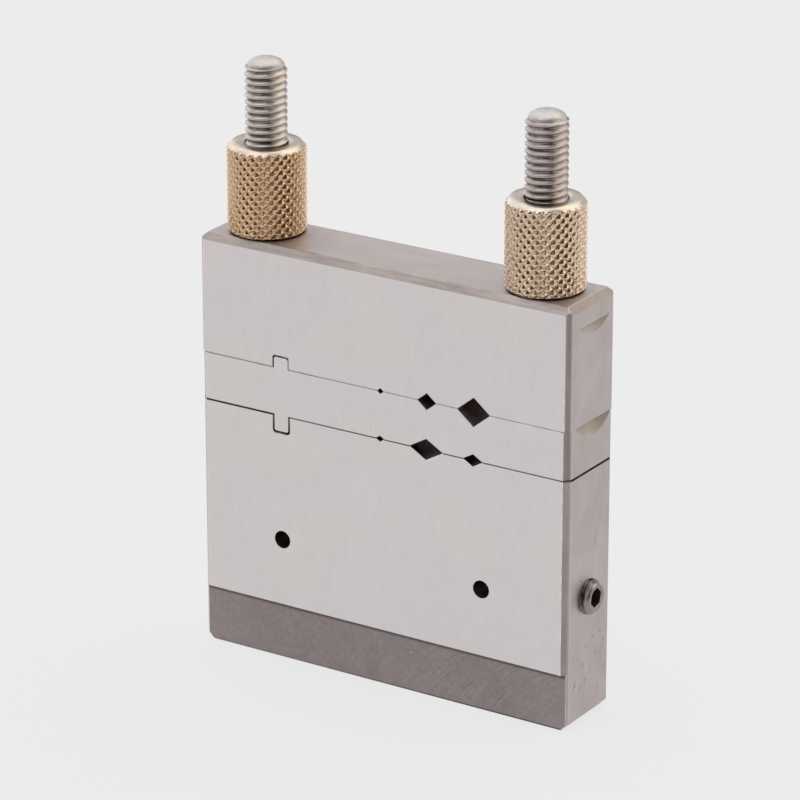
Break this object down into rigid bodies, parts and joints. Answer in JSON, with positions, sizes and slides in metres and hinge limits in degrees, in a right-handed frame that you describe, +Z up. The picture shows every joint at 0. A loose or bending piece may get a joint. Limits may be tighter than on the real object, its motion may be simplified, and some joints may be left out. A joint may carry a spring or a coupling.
{
  "type": "miter cutting vise",
  "caption": "Three ground steel jaws stacked on two threaded studs, with straight and 45 degree V grooves in the seams, clamped by knurled brass nuts.",
  "frame": {"origin": "centre of the foot of the base jaw, on the surface it stands on", "axes": "+X along the jaws towards the end with the lifting notches, -Y towards the front guide face, +Z up along the studs"},
  "size_m": [0.0624, 0.012, 0.0865],
  "materials": {
    "jaw_steel": "ground, fine upright grain, bright guide faces",
    "stud_steel": "rolled thread, satin",
    "nut_brass": "diamond knurl, turned ends",
    "screw_steel": "black oxide, oiled"
  },
  "bodies": {
    "base": {"base_jaw": "jaw_steel", "stud_left": "stud_steel", "stud_right": "stud_steel"},
    "middle_jaw": {"middle_jaw": "jaw_steel"},
    "top_jaw": {"top_jaw": "jaw_steel"},
    "nut_left": {"knurled_nut_left": "nut_brass"},
    "nut_right": {"knurled_nut_right": "nut_brass"},
    "set_screw_left": {"set_screw_left": "screw_steel"},
    "set_screw_right": {"set_screw_right": "screw_steel"}
  },
  "joints": [
    {"name": "top_jaw_lift", "type": "slide", "parent": "base", "child": "top_jaw", "axis": [0, 0, 1], "range_m": [0, 0.011]},
    {"name": "middle_jaw_lift", "type": "slide", "parent": "base", "child": "middle_jaw", "axis": [0, 0, 1], "range_m": [0, 0.0056]},
    {"name": "nut_left_turn", "type": "hinge", "parent": "top_jaw", "child": "nut_left", "pos_m": [-0.0225, 0, 0.0679], "axis": [0, 0, 1], "range_deg": [0, 3970]},
    {"name": "nut_right_turn", "type": "hinge", "parent": "top_jaw", "child": "nut_right", "pos_m": [0.0225, 0, 0.0679], "axis": [0, 0, 1], "range_deg": [0, 3970]},
    {"name": "set_screw_left_travel", "type": "slide", "parent": "base", "child": "set_screw_left", "axis": [1, 0, 0], "range_m": [-0.003, 0.0026]},
    {"name": "set_screw_right_travel", "type": "slide", "parent": "base", "child": "set_screw_right", "axis": [-1, 0, 0], "range_m": [-0.003, 0.0026]}
  ],
  "couplings": [
    {"joint": "nut_left_turn", "follows": "top_jaw_lift", "rad_per_m": 6283.2},
    {"joint": "nut_right_turn", "follows": "top_jaw_lift", "rad_per_m": 6283.2},
    {"joint": "middle_jaw_lift", "follows": "top_jaw_lift", "ratio": 0.5}
  ]
}
